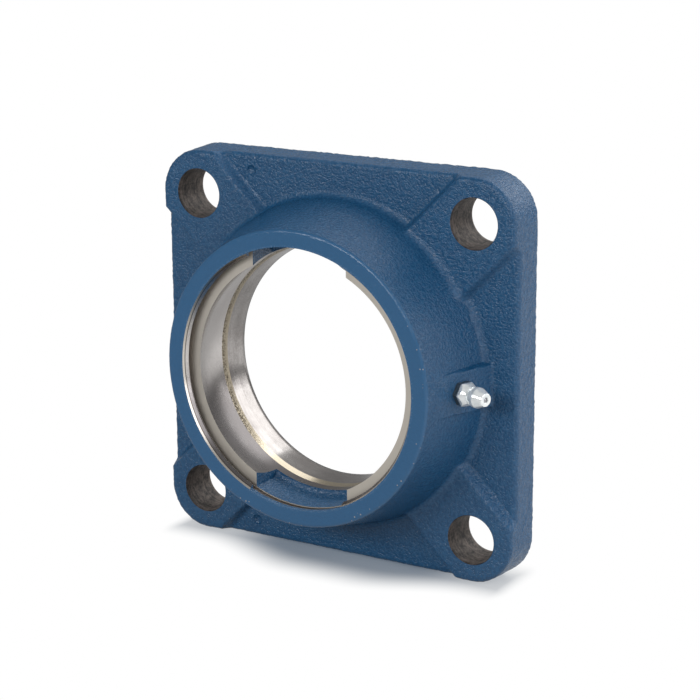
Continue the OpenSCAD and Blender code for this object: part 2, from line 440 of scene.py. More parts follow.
@dataclass(frozen=True)
class BrightMetal:
    """Bright plated or polished metal with fine tool marks, which may have painted shade at the nipple's
    root.
    """

    name: str
    colour: Triple
    dull: Triple
    roughness: float
    mark_pitch: float = 0.35
    mark_depth: float = 0.003
    metallic: float = 1.0
    # painted shade at the nipple's root
    root_shade: float = 0.0
    root_end: tuple[float, float] = (2.1, 1.6)
    root_shade_colour: Triple = (0.12, 0.145, 0.15)

    def make(self) -> Material:
        """Builds the material."""
        material, bench = new_material(self.name)
        place = bench.place()
        marks = bench.noise(place, self.mark_pitch, 2.0, 0.5)
        cloud = bench.noise(place, 2.6, 3.0, 0.6)
        colour = bench.blend(cloud.rise(0.42, 0.72), self.colour, self.dull)
        rough = self.roughness + cloud * 0.10
        metallic: Any = self.metallic
        # Painted shade: near its root the nipple turns darker, rougher and fully metallic, as shade where it
        # meets the boss.
        if self.root_shade:
            x, y, _ = bench.axes(place)
            tilt = math.radians(NIPPLE_TILT)
            along = (x - NIPPLE_X * MM) * math.cos(tilt) - (y + NIPPLE_Z * MM) * math.sin(tilt)
            root = along.rise(*(end * MM for end in self.root_end)) * self.root_shade
            colour = bench.blend(root, colour, self.root_shade_colour)
            rough = rough + root * 0.15
            metallic = self.metallic + root * (1 - self.metallic)
        bench.surface(colour, rough, bench.bump(marks, self.mark_depth), metallic)
        return material


ZINC = BrightMetal("bright_zinc_plate", (0.93, 0.96, 0.96), (0.72, 0.77, 0.78), 0.13,
                   metallic=0.55, root_shade=0.9)
BALL_STEEL = BrightMetal("polished_ball_steel", (0.40, 0.40, 0.42), (0.32, 0.32, 0.34), 0.10, 0.2, 0.001)
WIRE_STEEL = BrightMetal("drawn_spring_wire", (0.50, 0.50, 0.52), (0.38, 0.38, 0.40), 0.26, 0.15, 0.002)


class Cut(IntEnum):
    """Which surface a face of the casting belongs to; the number is its material slot."""

    PAINTED = 0
    TURNED = 1
    DRILLED = 2
    MILLED = 3


# -------------------------------------------------------------- mesh workshop


def to_frame(points: np.ndarray) -> np.ndarray:
    """Turns drawing coordinates (x, up, height above the mounting face, mm) into the frame's, in metres."""
    points = np.asarray(points, float)
    return np.stack([points[..., 0], -points[..., 2], points[..., 1]], -1) * MM


def in_scene(name: str, data: Any) -> Object:
    """A new object in the scene, at the origin."""
    obj = bpy.data.objects.new(name, data)
    bpy.context.scene.collection.objects.link(obj)
    return obj


def make_mesh(name: str, points: np.ndarray, faces: list[tuple[int, ...]] | np.ndarray,
              looks: list[Material], slots: np.ndarray | None = None) -> Object:
    """Makes a mesh object whose faces point outwards.

    Args:
        name: the piece's name.
        points: its vertices in the frame's axes, in metres.
        faces: its faces.
        looks: its materials.
        slots: the material slot of each face.

    Returns:
        The object, at the origin.
    """
    mesh = bpy.data.meshes.new(name)
    mesh.from_pydata([tuple(p) for p in points], [], [tuple(int(i) for i in f) for f in faces])
    for look in looks:
        mesh.materials.append(look)
    if slots is not None:
        mesh.polygons.foreach_set("material_index", np.asarray(slots, np.int32))
    mesh.validate()
    if signed_volume(mesh) < 0:
        mesh.flip_normals()
    return in_scene(name, mesh)


def signed_volume(mesh: Mesh) -> float:
    """Volume inside the mesh, negative if its faces point inwards."""
    mesh.calc_loop_triangles()
    points = np.empty(len(mesh.vertices) * 3)
    mesh.vertices.foreach_get("co", points)
    corners = np.empty(len(mesh.loop_triangles) * 3, np.int32)
    mesh.loop_triangles.foreach_get("vertices", corners)
    tri = points.reshape(-1, 3)[corners.reshape(-1, 3)]
    return float(np.einsum("ij,ij->i", tri[:, 0], np.cross(tri[:, 1], tri[:, 2])).sum() / 6)


def turned_form(name: str, profile: Profile, looks: list[Material], marks: list[int] | None, sides: int,
                origin: Triple = (0, 0, 0), axis: Triple = (0, 0, 1), across: Triple = (1, 0, 0)) -> Object:
    """Turns a closed half profile about an axis.

    Args:
        name: the form's name.
        profile: (radius, height) points from one end on the axis to the other, mm.
        looks: its materials.
        marks: material slot of each stretch of the profile, or None where all have the first.
        sides: steps round the axis.
        origin: where the axis starts, in drawing coordinates.
        axis: its direction.
        across: the direction of the first step.

    Returns:
        The closed form.
    """
    rise = np.array(axis, float) / np.linalg.norm(axis)
    right = np.array(across, float)
    right = right - rise * right.dot(rise)
    right /= np.linalg.norm(right)
    ahead = np.cross(rise, right)
    turn = np.arange(sides) * 2 * math.pi / sides
    round_ = np.cos(turn)[:, None] * right + np.sin(turn)[:, None] * ahead
    points: list[np.ndarray] = []
    rings: list[list[int]] = []
    for radius, height in profile:
        middle = np.array(origin, float) + rise * height
        start = len(points)
        if radius < 1e-6:
            points.append(middle)
            rings.append([start] * sides)
        else:
            points.extend(middle + radius * round_)
            rings.append(list(range(start, start + sides)))
    faces, slots = [], []
    for n, (low, high) in enumerate(zip(rings, rings[1:])):
        for i in range(sides):
            j = (i + 1) % sides
            corners = list(dict.fromkeys([low[i], low[j], high[j], high[i]]))
            if len(corners) > 2:
                faces.append(tuple(corners))
                slots.append(marks[n] if marks else 0)
    return make_mesh(name, to_frame(np.array(points)), faces, looks, np.array(slots))


def baked(obj: Object) -> Object:
    """Applies an object's modifiers and takes them off."""
    bpy.context.view_layer.update()
    ready = obj.evaluated_get(bpy.context.evaluated_depsgraph_get())
    mesh = bpy.data.meshes.new_from_object(ready, preserve_all_data_layers=True,
                                           depsgraph=bpy.context.evaluated_depsgraph_get())
    obj.modifiers.clear()
    old = obj.data
    obj.data = mesh
    bpy.data.meshes.remove(old)
    mesh.name = obj.name
    return obj


class Join(Enum):
    """How two closed forms are joined."""

    CUT = "DIFFERENCE"
    ADD = "UNION"
    KEEP = "INTERSECT"


def join(obj: Object, other: Object, how: Join) -> Object:
    """Cuts, adds or keeps another closed form, which is then removed."""
    step = obj.modifiers.new("join", "BOOLEAN")
    step.operation = how.value
    step.solver = "MANIFOLD"
    step.object = other
    before = len(obj.data.polygons)
    baked(obj)
    after = len(obj.data.polygons)
    LOG.info("%s %s %s: %d faces, then %d", obj.name, how.name.lower(), other.name, before, after)
    bpy.data.objects.remove(other)
    return obj


def soften(obj: Object, angle: float) -> Object:
    """Smooth shading with its edges over an angle, in degrees, kept sharp."""
    obj.data.shade_smooth()
    obj.data.set_sharp_from_angle(angle=math.radians(angle))
    return obj


def soft_max(first: np.ndarray, second: np.ndarray, width: float) -> np.ndarray:
    """The larger of two heights, with a fillet where they meet."""
    gap = np.clip(width - np.abs(first - second), 0, None) / width
    return np.maximum(first, second) + gap * gap * width / 4


def soft_min(first: np.ndarray, second: np.ndarray, width: float) -> np.ndarray:
    """The smaller of two heights, with a rounding where they meet."""
    return -soft_max(-first, -second, width)


def arc_points(centre: tuple[float, float], radius: float, start: float, end: float,
               steps: int = 5) -> Profile:
    """Points on an arc between two angles in degrees."""
    angles = np.radians(np.linspace(start, end, steps + 1))
    return [(centre[0] + radius * math.cos(a), centre[1] + radius * math.sin(a)) for a in angles]


# --------------------------------------------------------------- geometry nodes


class Tree:
    """Builds one Geometry Nodes tree with named inputs."""

    def __init__(self, name: str) -> None:
        """Makes an empty tree with a geometry output."""
        self.group = bpy.data.node_groups.new(name, "GeometryNodeTree")
        self.group.interface.new_socket("Geometry", in_out="INPUT", socket_type="NodeSocketGeometry")
        self.group.interface.new_socket("Geometry", in_out="OUTPUT", socket_type="NodeSocketGeometry")
        self.inputs = self.group.nodes.new("NodeGroupInput")
        self.outputs = self.group.nodes.new("NodeGroupOutput")
        self.values: dict[str, float] = {}

    def size(self, name: str, value: float) -> NodeSocket:
        """Adds a named input and its value."""
        self.group.interface.new_socket(name, in_out="INPUT", socket_type="NodeSocketFloat")
        self.values[name] = value
        return self.inputs.outputs[name]

    def node(self, kind: str, inputs: dict[Any, Any] | None = None, **settings: Any) -> NodeSocket:
        """Adds one node and hands back its first output."""
        return add_node(self.group, kind, settings, inputs).outputs[0]

    def maths(self, operation: str, *values: Any) -> NodeSocket:
        """One Math node."""
        return self.node("ShaderNodeMath", dict(enumerate(values)), operation=operation)

    def finish(self, geometry: NodeSocket, look: Material) -> None:
        """Ends the tree in Realize Instances and Set Material."""
        real = self.node("GeometryNodeRealizeInstances", {0: geometry})
        dressed = self.node("GeometryNodeSetMaterial", {"Geometry": real, "Material": look})
        self.group.links.new(dressed, self.outputs.inputs[0])

    def put_on(self, obj: Object) -> Object:
        """Runs the tree on an object and bakes its result."""
        step = obj.modifiers.new(self.group.name, "NODES")
        step.node_group = self.group
        for item in self.group.interface.items_tree:
            if item.in_out == "INPUT" and item.name in self.values:
                step[item.identifier] = self.values[item.name]
        return baked(obj)


@dataclass
class CastSkin:
    """Rough sand-cast skin: moves each point of a form along its normal."""

    fine_pitch: float = 1.3
    fine_height: float = 0.62
    wave_pitch: float = 8.0
    wave_height: float = 0.30
    seed: float = 4.0

    def apply(self, obj: Object, look: Material) -> Object:
        """Roughens a form where its "cast" attribute says.

        Args:
            obj: the closed form, with a point attribute "cast" between 0 and 1.
            look: its paint.

        Returns:
            The same object.
        """
        tree = Tree("cast_skin")
        amount = tree.node("GeometryNodeInputNamedAttribute", {"Name": "cast"}, data_type="FLOAT")
        seed = tree.size("Seed", self.seed)
        total = None
        for label, pitch, height in (("Grain", self.fine_pitch, self.fine_height),
                                     ("Wave", self.wave_pitch, self.wave_height)):
            scale = tree.size(f"{label} scale", 1 / (pitch * MM))
            high = tree.size(f"{label} height", height * MM)
            noise = tree.node("ShaderNodeTexNoise", {
                "W": seed, "Scale": scale, "Detail": 1.5, "Roughness": 0.5}, noise_dimensions="4D")
            lift = tree.maths("MULTIPLY", tree.maths("SUBTRACT", noise, 0.5), high)
            total = lift if total is None else tree.maths("ADD", total, lift)
        move = tree.maths("MULTIPLY", total, amount)
        normal = tree.node("GeometryNodeInputNormal")
        offset = tree.node("ShaderNodeVectorMath", {0: normal, "Scale": move}, operation="SCALE")
        skin = tree.node("GeometryNodeSetPosition", {"Geometry": tree.inputs.outputs[0], "Offset": offset})
        tree.finish(skin, look)
        return tree.put_on(obj)


# --------------------------------------------------------------------- pieces


@dataclass
class Housing:
    """The one-piece casting: drafted flange with four pads, flared hub, nipple boss, and all its cuts."""

    body: str = "housing_body"
    flange_w: float = 131.0
    bolt_pitch: float = 101.5
    bolt_hole_d: float = 16.0
    pocket_t: float = 11.0
    pad_t: float = 14.0
    pad_w: float = 26.8
    pad_lean: float = 28.0
    strip_round: float = 0.45
    strip_foot: float = 0.8
    edge_draft: float = 3.0
    edge_round: float = 1.5
    hub_h: float = 37.3
    ring_r: float = 47.7
    hub_foot_r: float = 54.0
    hub_fillet: float = 2.5
    ring_round: float = 1.0
    seat_r: float = 40.0
    seat_z: float = 21.0
    ledge_z: tuple[float, float] = (15.9, 18.2)
    ledge_h: float = 0.33
    rear_land_r: float = 39.0
    rear_land_z: float = 6.3
    relief_r: float = 44.0
    groove_r: float = 42.8
    groove_back: float = 33.3
    groove_front: float = 35.5
    mouth_r: float = 41.1
    bevel_r: float = 42.2
    slot_w: float = 34.0
    slot_floor_r: float = 42.3
    slot_end_z: float = 21.5
    slot_fillet: float = 2.0
    dimple_at: tuple[float, float] = (-31.8, 59.5)
    dimple_r: float = 2.06
    dimple_depth: float = 0.95
    nipple_hole_d: float = 6.04
    nipple_hole_l: float = 7.0
    duct_d: float = 3.5
    boss_w: float = 13.6
    boss_draft: float = 12.0
    boss_from_x: float = 48.1
    boss_round: float = 3.4
    boss_foot: float = 1.2
    core_r: float = 37.5
    back_row_r: float = 50.0
    front_r: tuple[float, float] = (41.2, 60.0)
    front_rows: tuple[int, int] = (74, 27)
    front_skin: float = 0.26
    columns: int = 660
    crease: float = 7.0
    skin: CastSkin = field(default_factory=CastSkin)
    looks: list[Material] = field(default_factory=list)

    def dress(self) -> None:
        """Makes the casting's four finishes, in the order of Cut."""
        self.looks = [look().make() for look in (PaintedCasting, TurnedIron, DrilledIron, MilledIron)]

    def flank(self, radius: np.ndarray, floor: np.ndarray) -> np.ndarray:
        """Height of the hub at a radius, with its rounded top and its filleted foot on a floor."""
        lean = math.atan((self.hub_foot_r - self.ring_r) / (self.hub_h - self.pocket_t))
        tan, cos, rho, foot = math.tan(lean), math.cos(lean), self.ring_round, self.hub_fillet
        round_r = self.ring_r + rho * tan - rho / cos
        foot_r = self.ring_r + (self.hub_h - floor - foot) * tan + foot / cos
        line = self.hub_h - (radius - self.ring_r) / tan
        top = self.hub_h - rho + np.sqrt(np.clip(rho * rho - (radius - round_r) ** 2, 0, None))
        bottom = floor + foot - np.sqrt(np.clip(foot * foot - (foot_r - radius) ** 2, 0, None))
        steps = [radius <= round_r, radius <= round_r + rho * cos, radius < foot_r - foot * cos,
                 radius < foot_r]
        return np.select(steps, [np.full_like(radius, self.hub_h), top, line, bottom], floor)

    def front(self, x: np.ndarray, up: np.ndarray) -> np.ndarray:
        """Height of the cast front above the mounting face."""
        across = np.minimum(np.abs(x - up), np.abs(x + up)) / math.sqrt(2)
        side = self.pad_t - (across - self.pad_w / 2) / math.tan(math.radians(self.pad_lean))
        strip = soft_min(np.full_like(side, self.pad_t), side, self.strip_round)
        floor = soft_max(np.full_like(side, self.pocket_t), strip, self.strip_foot)
        hub = self.flank(np.hypot(x, up), floor)
        tilt, draft = math.radians(NIPPLE_TILT), math.radians(self.boss_draft)
        face = NIPPLE_Z - (x - NIPPLE_X) / math.tan(tilt)
        wall = face - (np.abs(up) - self.boss_w / 2) / (math.tan(draft) * math.sin(tilt))
        boss = soft_min(face, wall, self.boss_round)
        return np.where(x > self.boss_from_x, soft_max(hub, boss, self.boss_foot), hub)

    def reach(self, angle: np.ndarray, half: np.ndarray) -> np.ndarray:
        """Distance from the bore axis to the flange's rounded square outline of a half width."""
        centre = self.bolt_pitch / 2
        big = np.maximum(np.abs(np.cos(angle)), np.abs(np.sin(angle)))
        small = np.minimum(np.abs(np.cos(angle)), np.abs(np.sin(angle)))
        flat = half / big
        both = centre * (big + small)
        corner = both + np.sqrt(np.clip(both ** 2 - 2 * centre ** 2 + (half - centre) ** 2, 0, None))
        return np.where(flat * small <= centre, flat, corner)

    def angles(self) -> np.ndarray:
        """Directions of the casting's columns, closer together at the pads and the boss."""
        fine = np.linspace(0, 2 * math.pi, 7201)
        diagonal = math.pi / 4 - np.abs((fine + math.pi / 4) % (math.pi / 2) - math.pi / 4)
        boss = np.abs((fine + math.pi) % (2 * math.pi) - math.pi)
        weight = 1 + 0.5 * np.exp(-(diagonal / 0.28) ** 4) + 1.0 * np.exp(-(boss / 0.16) ** 4)
        total = np.concatenate([[0], np.cumsum((weight[1:] + weight[:-1]) / 2)])
        return np.interp(np.arange(self.columns) / self.columns * total[-1], total, fine)

    def stretch(self, angle: np.ndarray, start: np.ndarray, end: np.ndarray, rows: int
                ) -> tuple[np.ndarray, np.ndarray]:
        """Rows of points at even spacing along the cast front.

        Args:
            angle: direction of each column.
            start: radius at which each column starts.
            end: radius at which it ends.
            rows: number of rows.

        Returns:
            Radius and height of each point, row by column.
        """
        share = np.linspace(0, 1, 1600)[:, None]
        radius = start + (end - start) * share
        height = self.front(radius * np.cos(angle), radius * np.sin(angle))
        step = np.hypot(np.diff(radius, axis=0), np.diff(height, axis=0))
        length = np.concatenate([np.zeros((1, len(angle))), np.cumsum(step, axis=0)])
        wanted = np.linspace(0, 1, rows)
        picked = np.stack([np.interp(wanted * length[-1, k], length[:, k], radius[:, k])
                           for k in range(len(angle))], 1)
        return picked, self.front(picked * np.cos(angle), picked * np.sin(angle))

    def mould(self) -> Object:
        """The casting as it leaves the sand, as one closed grid of rings round the bore axis."""
        angle = self.angles()
        ones = np.ones(len(angle))
        draft = math.radians(self.edge_draft)
        tan, cos, rho = math.tan(draft), math.cos(draft), self.edge_round
        top = ones * self.pad_t
        for _ in range(3):
            half = self.flange_w / 2 - top * tan + rho * tan - rho / cos
            edge = self.reach(angle, half)
            top = self.front(edge * np.cos(angle), edge * np.sin(angle))
        rows: list[tuple[np.ndarray, np.ndarray, float]] = [(ones * self.core_r, ones * self.hub_h, 0.0)]
        inner, outer = (ones * r for r in self.front_r)
        for start, end, count in zip((inner, outer), (outer, edge), self.front_rows):
            radius, height = self.stretch(angle, start, end, count)
            rows += [(r, h, self.front_skin) for r, h in list(zip(radius, height))[len(rows) > 1:]]
        for turn in np.radians(np.linspace(90, self.edge_draft, 6))[1:]:
            height = top - rho + rho * math.sin(turn)
            rows.append((self.reach(angle, half + rho * math.cos(turn)), height, 1.0))
        last = top - rho + rho * math.sin(draft)
        for share in np.linspace(0, 1, 21)[1:]:
            height = last * (1 - share) + 0.3 * share
            rows.append((self.reach(angle, self.flange_w / 2 - height * tan), height, 1.0))
        for inset, skin in ((0.25, 0.2), (1.2, 0.0)):
            rows.append((self.reach(angle, ones * (self.flange_w / 2 - inset)), ones * 0, skin))
        rows += [(ones * r, ones * 0, 0.0) for r in (self.back_row_r, self.core_r)]
        points = np.stack([np.stack([r * np.cos(angle), r * np.sin(angle), h], 1) for r, h, _ in rows])
        cast = np.stack([np.full(len(angle), m) for _, _, m in rows])
        on_ring = points[..., 2] > self.hub_h - 0.25
        on_pad = (points[..., 2] > self.pad_t - 0.3) & (points[..., 2] < self.pad_t + 0.3)
        cast = np.where(on_ring, cast * 0.35, np.where(on_pad, cast * 0.75, cast))
        count, wide = len(rows), len(angle)
        index = np.arange(count * wide).reshape(count, wide)
        low, high = index, np.roll(index, -1, 0)
        faces = np.stack([low, np.roll(low, -1, 1), np.roll(high, -1, 1), high], -1).reshape(-1, 4)
        obj = make_mesh("housing_casting", to_frame(points.reshape(-1, 3)), faces, self.looks)
        layer = obj.data.attributes.new("cast", "FLOAT", "POINT")
        layer.data.foreach_set("value", cast.reshape(-1).astype(np.float32))
        obj.data.shade_smooth()
        return obj

    def slot_core(self, side: int) -> Object:
        """The core that leaves one loading slot: round floor, filleted inner end, straight sides."""
        inner, floor, end, fillet = 30.0, self.slot_floor_r, self.slot_end_z, self.slot_fillet
        section = [(inner, end), (floor - fillet, end)]
        section += arc_points((floor - fillet, end + fillet), fillet, -90, 0)[1:]
        section += [(floor, h) for h in np.linspace(end + fillet + 0.7, self.hub_h + 1, 22)]
        section += [(inner, self.hub_h + 1)]
        across = np.linspace(-self.slot_w / 2, self.slot_w / 2, 44)
        points = []
        for x in across:
            for r, h in section:
                points.append((x, side * (math.sqrt(r * r - x * x) if r > inner else r * 0.85), h))
        wide, deep = len(across), len(section)
        index = np.arange(wide * deep).reshape(wide, deep)
        quads = np.stack([index[:-1], np.roll(index, -1, 1)[:-1], np.roll(index, -1, 1)[1:], index[1:]], -1)
        faces = [tuple(q) for q in quads.reshape(-1, 4)] + [tuple(index[0][::-1]), tuple(index[-1])]
        return make_mesh(f"slot_core_{side + 1}", to_frame(np.array(points)), faces, self.looks)

    def dimple(self, side: int) -> Object:
        """One shallow round locating dimple."""
        x, up = self.dimple_at
        ball = self.dimple_r
        height = self.pocket_t + ball - self.dimple_depth
        profile = [(ball * math.sin(a), -ball * math.cos(a)) for a in np.linspace(0, math.pi, 13)]
        return turned_form(f"dimple_{side + 1}", profile, self.looks, None, 32, (x, side * up, height))

    def sphere(self, height: float) -> float:
        """Radius of the spherical seat at a height above the mounting face."""
        return math.sqrt(self.seat_r ** 2 - (height - self.seat_z) ** 2)

    def bore_tool(self) -> Object:
        """Everything that is turned on the bore axis, as the swept space of the tool."""
        profile: Profile = [(0, -1), (self.relief_r, -1), (self.relief_r, 0)]
        profile += [(self.rear_land_r, self.rear_land_z)]
        marks = [int(Cut.TURNED), int(Cut.PAINTED), int(Cut.PAINTED)]
        seat_back = self.seat_z - math.sqrt(self.seat_r ** 2 - self.rear_land_r ** 2)
        profile += [(self.rear_land_r, h) for h in np.linspace(self.rear_land_z + 1.5, seat_back - 0.05, 4)]
        low, high = self.ledge_z
        profile += [(self.rear_land_r, seat_back), (self.sphere(low) - self.ledge_h, low)]
        profile += [(self.sphere(h), h) for h in np.linspace(high, self.groove_back, 18)]
        profile += [(self.groove_r - 0.3, self.groove_back), (self.groove_r, self.groove_back + 0.3)]
        profile += [(self.groove_r, self.groove_front - 0.3), (self.groove_r - 0.3, self.groove_front)]
        profile += [(self.mouth_r, self.groove_front), (self.bevel_r, self.hub_h)]
        profile += [(self.bevel_r, self.hub_h + 1), (0, self.hub_h + 1)]
        marks += [int(Cut.TURNED)] * (len(profile) - 1 - len(marks))
        return turned_form("bore_tool", profile, self.looks, marks, 360)

    def drill(self, name: str, spot: tuple[float, float]) -> Object:
        """The drill of one bolt hole, which breaks the hole's front edge a little."""
        r = self.bolt_hole_d / 2
        profile = [(0, -1), (r, -1)] + [(r, h) for h in (3.0, 7.0, 11.0)]
        profile += [(r, self.pad_t - 0.2), (r + 0.35, self.pad_t + 0.15), (r + 0.35, self.pad_t + 1)]
        profile += [(0, self.pad_t + 1)]
        marks = [int(Cut.DRILLED)] * (len(profile) - 1)
        return turned_form(name, profile, self.looks, marks, 96, (spot[0], spot[1], 0))

    def grease_drill(self) -> Object:
        """The stepped drill of the nipple's hole and its duct."""
        tilt = math.radians(NIPPLE_TILT)
        hole, duct = self.nipple_hole_d / 2, self.duct_d / 2
        profile = [(0, -18.0), (duct, -18.0), (duct, -self.nipple_hole_l), (hole, -self.nipple_hole_l),
                   (hole, 2.0), (0, 2.0)]
        return turned_form("grease_drill", profile, self.looks, [int(Cut.DRILLED)] * 5, 64,
                           (NIPPLE_X, 0, NIPPLE_Z), (math.cos(tilt), 0, math.sin(tilt)), (0, 1, 0))

    def build(self) -> Object:
        """Moulds, skins and machines the housing."""
        self.dress()
        obj = self.mould()
        for side in (-1, 1):
            join(obj, self.slot_core(side), Join.CUT)
            join(obj, self.dimple(side), Join.CUT)
        obj.data.shade_smooth()
        self.skin.apply(obj, self.looks[0])
        for look in self.looks[1:]:
            if look.name not in obj.data.materials:
                obj.data.materials.append(look)
        join(obj, self.bore_tool(), Join.CUT)
        half = self.bolt_pitch / 2
        for n, spot in enumerate(((-half, -half), (-half, half), (half, half), (half, -half))):
            join(obj, self.drill(f"drill_{n}", spot), Join.CUT)
        join(obj, self.grease_drill(), Join.CUT)
        self.mark_back(obj.data)
        soften(obj, 40.0)
        self.crease_bore(obj.data)
        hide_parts("housing")
        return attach(obj, self.body)

    def mark_back(self, mesh: Mesh) -> None:
        """Gives the faces that lie in the mounting face the milled finish."""
        for face in mesh.polygons:
            if face.normal.y > 0.99 and face.center.y > -0.02 * MM:
                face.material_index = int(Cut.MILLED)

    def crease_bore(self, mesh: Mesh) -> None:
        """Keeps the edges between turned faces sharp, also the shallow ones of the pitted ledge."""
        work = bmesh.new()
        work.from_mesh(mesh)
        for edge in work.edges:
            turned = [face for face in edge.link_faces if face.material_index == Cut.TURNED]
            if len(turned) == 2 and edge.calc_face_angle() > math.radians(self.crease):
                edge.smooth = False
        work.to_mesh(mesh)
        work.free()


@dataclass
class GreaseNipple:
    """Nipple body, check ball and check spring, on the boss's own axis."""

    body: str = "housing_body"
    ball_body: str = "check_ball"
    shank_d: float = 6.0
    shank_l: float = 5.5
    hex_w: float = 7.0
    hex_h: float = 3.2
    cone_h: float = 2.2
    edge_bevel: float = 0.07
    neck_d: float = 4.6
    head_d: float = 6.5
    tip_h: float = 10.8
    tip_d: float = 3.8
    ball_d: float = 2.0
    mouth_d: float = 1.6
    mouth_h: float = 0.5
    channel_r: float = 1.12
    inlet_r: float = 0.7
    lip_h: float = 0.6
    wire_d: float = 0.3
    turns: float = 10.0

    def axis(self) -> Triple:
        """The nipple's direction, in drawing coordinates."""
        tilt = math.radians(NIPPLE_TILT)
        return math.cos(tilt), 0.0, math.sin(tilt)

    def turned(self, name: str, profile: Profile, look: Material, sides: int) -> Object:
        """A form turned about the nipple's axis."""
        rise = self.axis()
        return turned_form(name, profile, [look], None, sides, (NIPPLE_X, 0, NIPPLE_Z), rise,
                           (rise[2], 0, -rise[0]))

    def build_body(self, look: Material) -> Object:
        """Shank, chamfered hexagon, neck and coupling head round a stepped channel."""
        r, neck, head, tip = self.shank_d / 2, self.neck_d / 2, self.head_d / 2, self.tip_d / 2
        back = self.hex_h + self.cone_h
        outer: Profile = [(0, -self.shank_l), (r - 0.6, -self.shank_l), (r, 0.6 - self.shank_l), (r, 0.4)]
        outer += [(neck, 0.8), (neck, back - 0.15), (neck + 0.12, back)]
        outer += [(head - 0.2, back + 0.85)] + arc_points((head - 0.3, back + 1.15), 0.3, -40, 0, 3)
        outer += arc_points((head - 0.3, back + 2.2), 0.3, 0, 35, 3)
        outer += [(tip + 0.30, self.tip_h - 0.45), (tip + 0.12, self.tip_h - 0.08), (tip, self.tip_h)]
        outer += [(self.mouth_d / 2 + 0.15, self.tip_h), (0, self.tip_h)]
        obj = self.turned("grease_nipple", outer, look, 72)
        corner = self.hex_w / math.sqrt(3)
        top = back - 1.0
        nut = self.turned("hexagon", [(0, 0), (corner, 0), (corner, top), (0, top)], look, 6)
        cone: Profile = [(0, -0.5), (corner - 0.55, -0.5), (corner + 0.3, 0.35), (corner + 0.3, 1.75)]
        cone += [(neck + 0.35, top + 0.1), (0, top + 0.1)]
        join(nut, self.turned("chamfer", cone, look, 72), Join.KEEP)
        join(obj, nut, Join.ADD)
        seat, lip, end = self.tip_h - self.mouth_h, self.lip_h - self.shank_l, -self.shank_l - 1
        mouth, wide = self.mouth_d / 2, self.mouth_d / 2 + 0.25
        channel: Profile = [(0, end), (self.inlet_r, end), (self.inlet_r, lip), (self.channel_r, lip)]
        channel += [(self.channel_r, seat), (mouth, seat), (mouth, self.tip_h - 0.15)]
        channel += [(wide, self.tip_h + 0.1), (wide, self.tip_h + 1), (0, self.tip_h + 1)]
        join(obj, self.turned("channel", channel, look, 48), Join.CUT)
        edges = obj.modifiers.new("edges", "BEVEL")
        edges.width, edges.segments, edges.limit_method = self.edge_bevel * MM, 2, "ANGLE"
        edges.angle_limit = math.radians(35)
        baked(obj)
        soften(obj, 30.0)
        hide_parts("grease_nipple_body")
        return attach(obj, self.body)

    def build_ball(self, look: Material) -> Object:
        """The check ball, just under the mouth."""
        low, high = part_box("grease_nipple_check_ball")
        middle = (low + high) / 2
        r = self.ball_d / 2 * 0.995
        profile = [(r * math.sin(a), -r * math.cos(a)) for a in np.linspace(0, math.pi, 25)]
        profile[0], profile[-1] = (0, -r), (0, r)
        obj = turned_form("grease_nipple_ball", profile, [look], None, 48,
                          (middle.x / MM, middle.z / MM, -middle.y / MM), self.axis(), (0, 1, 0))
        obj.data.shade_smooth()
        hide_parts("grease_nipple_check_ball")
        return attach(obj, self.ball_body)

    def build_spring(self, look: Material) -> Object:
        """The check spring, coiled by Geometry Nodes between the lip and the ball."""
        ball_r, wire_r, play = self.ball_d / 2, self.wire_d / 2, 0.01
        coil_r = ball_r - wire_r
        back = self.lip_h - self.shank_l + wire_r + play
        ball_z = self.tip_h - self.mouth_h - math.sqrt(ball_r ** 2 - (self.mouth_d / 2) ** 2) - play
        front = ball_z - math.sqrt((ball_r + wire_r) ** 2 - coil_r ** 2) - play
        tree = Tree("check_spring")
        radius = tree.size("Coil radius", coil_r * MM)
        line = tree.node("GeometryNodeCurveSpiral", {
            "Resolution": 28, "Rotations": tree.size("Turns", self.turns), "Start Radius": radius,
            "End Radius": radius, "Height": tree.size("Length", (front - back) * MM)})
        wire = tree.node("GeometryNodeCurvePrimitiveCircle", {
            "Resolution": 10, "Radius": tree.size("Wire radius", wire_r * MM)})
        coil = tree.node("GeometryNodeCurveToMesh", {"Curve": line, "Profile Curve": wire, "Fill Caps": True})
        tree.finish(coil, look)
        obj = in_scene("grease_nipple_coil", bpy.data.meshes.new("grease_nipple_coil"))
        tree.put_on(obj)
        rise = Vector(to_frame(np.array(self.axis())) / MM)
        start = Vector(to_frame(np.array((NIPPLE_X, 0, NIPPLE_Z)))) + rise * back * MM
        turn = rise.to_track_quat("Z", "Y").to_matrix().to_4x4()
        obj.data.transform(Matrix.Translation(start) @ turn)
        obj.data.shade_smooth()
        anchor = start - rise * wire_r * MM
        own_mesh(obj)
        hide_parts("grease_nipple_spring")
        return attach(obj, self.body)

    def build(self) -> list[Object]:
        """Builds the three parts of the nipple."""
        return [self.build_body(ZINC.make()), self.build_ball(BALL_STEEL.make()),
                self.build_spring(WIRE_STEEL.make())]


# --------------------------------------------------------------------- studio


@dataclass
class Lamp:
    """One soft rectangular lamp that faces the object."""

    name: str
    at: Triple
    size: tuple[float, float]
    radiance: float
    colour: Triple = (1.0, 1.0, 1.0)
    towards: Triple = (0.0, -0.015, 0.0)
    roll: float = 0.0

    def build(self) -> Object:
        """Hangs the lamp; its power gives it the same brightness at any size."""
        light = bpy.data.lights.new(self.name, "AREA")
        light.shape = "RECTANGLE"
        light.size, light.size_y = self.size
        light.energy = self.radiance * math.pi * self.size[0] * self.size[1]
        light.color = self.colour
        obj = in_scene(self.name, light)
        aim = Vector(self.towards) - Vector(self.at)
        turn = aim.to_track_quat("-Z", "Y").to_matrix() @ Matrix.Rotation(math.radians(self.roll), 3, "Z")
        obj.matrix_world = Matrix.Translation(self.at) @ turn.to_4x4()
        return obj


